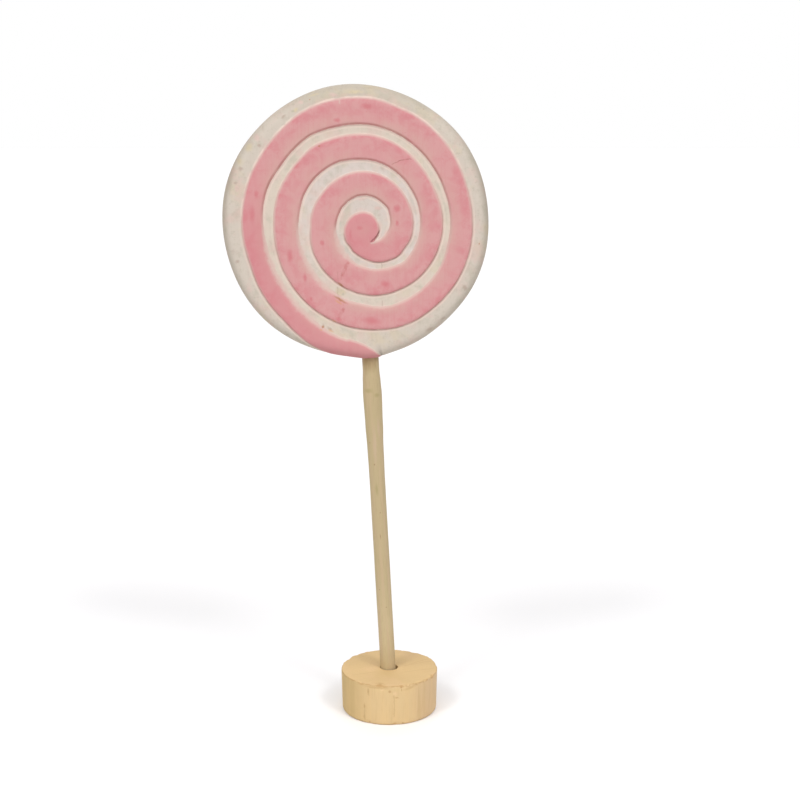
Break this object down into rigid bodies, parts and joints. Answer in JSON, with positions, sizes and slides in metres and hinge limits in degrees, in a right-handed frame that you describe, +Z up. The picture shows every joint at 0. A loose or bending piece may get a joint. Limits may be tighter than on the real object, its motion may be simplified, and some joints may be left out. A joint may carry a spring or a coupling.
{
  "type": "decorative swirl lollipop",
  "caption": "Decorative lollipop for a shelf or table: carved, painted wooden disc with a raised swirl, on a leaning dowel stick in a round wooden base.",
  "frame": {"origin": "centre of the base's underside", "axes": "+Z up, -Y out of the front of the disc, +X to the right as seen from the front"},
  "size_m": [0.1306, 0.05, 0.3179],
  "materials": {
    "painted_wood": "matt hand-brushed paint, dusty pink on the raised band and off-white elsewhere",
    "stick_wood": "sanded bare wood with faint long grain and slightly darker edges",
    "base_wood": "sanded bare pale wood"
  },
  "bodies": {
    "root": {"swirl_disc": "painted_wood", "stick": "stick_wood", "base": "base_wood"}
  },
  "joints": []
}
